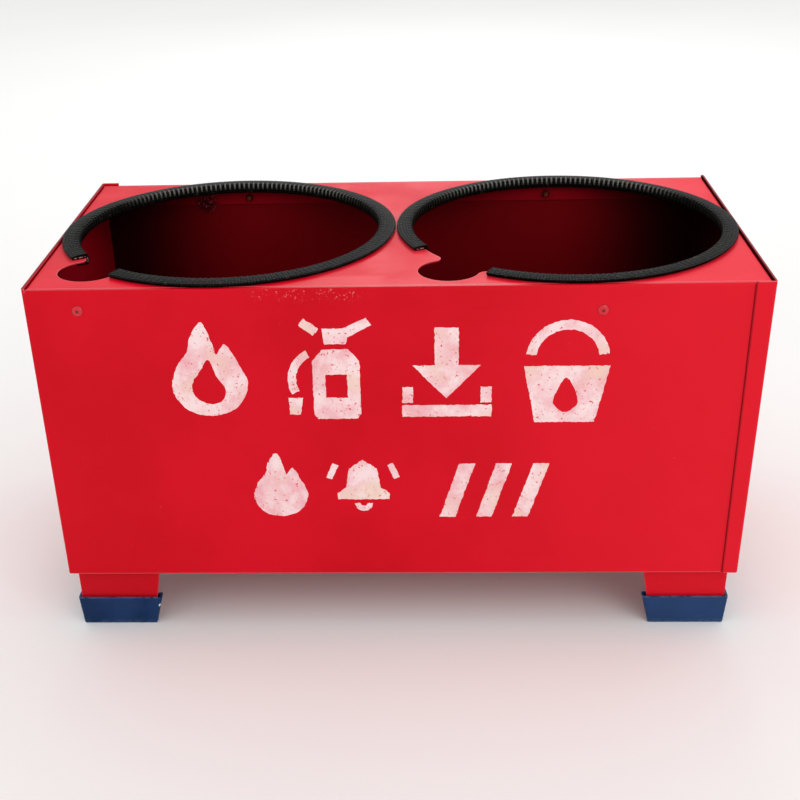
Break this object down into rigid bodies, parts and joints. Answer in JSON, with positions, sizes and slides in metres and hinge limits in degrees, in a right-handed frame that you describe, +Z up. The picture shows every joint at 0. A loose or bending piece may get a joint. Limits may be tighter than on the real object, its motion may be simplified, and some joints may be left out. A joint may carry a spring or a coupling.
{
  "type": "two-hole fire extinguisher stand box",
  "caption": "Open-topped sheet-steel stand box on angle feet that holds fire extinguishers upright in trimmed round holes with hose notches.",
  "frame": {"origin": "on the ground, in the middle of the box's footprint", "axes": "+X to the right along the long front wall, +Y to the back, +Z up"},
  "size_m": [0.4, 0.202, 0.2218],
  "materials": {
    "red_paint": "semi-gloss red enamel on sheet steel",
    "trim_plastic": "grained soft black plastic",
    "core_steel": "bare strip",
    "rivet_metal": "painted over",
    "pin_steel": "painted over",
    "white_paint": "thin stencilled film on the front wall",
    "cap_plastic": "satin navy blue soft plastic"
  },
  "bodies": {
    "root": {"front_wrap": "red_paint", "back_wrap": "red_paint", "top_panel": "red_paint", "floor_panel": "red_paint", "left_edge_trim": "trim_plastic", "right_edge_trim": "trim_plastic", "left_trim_core": "core_steel", "right_trim_core": "core_steel", "front_left_rivet": "rivet_metal", "front_left_rivet_pin": "pin_steel", "front_left_leg": "red_paint", "front_left_foot_cap": "cap_plastic", "front_right_rivet": "rivet_metal", "front_right_rivet_pin": "pin_steel", "front_right_leg": "red_paint", "front_right_foot_cap": "cap_plastic", "back_left_rivet": "rivet_metal", "back_left_rivet_pin": "pin_steel", "back_left_leg": "red_paint", "back_left_foot_cap": "cap_plastic", "back_right_rivet": "rivet_metal", "back_right_rivet_pin": "pin_steel", "back_right_leg": "red_paint", "back_right_foot_cap": "cap_plastic"}
  },
  "joints": []
}
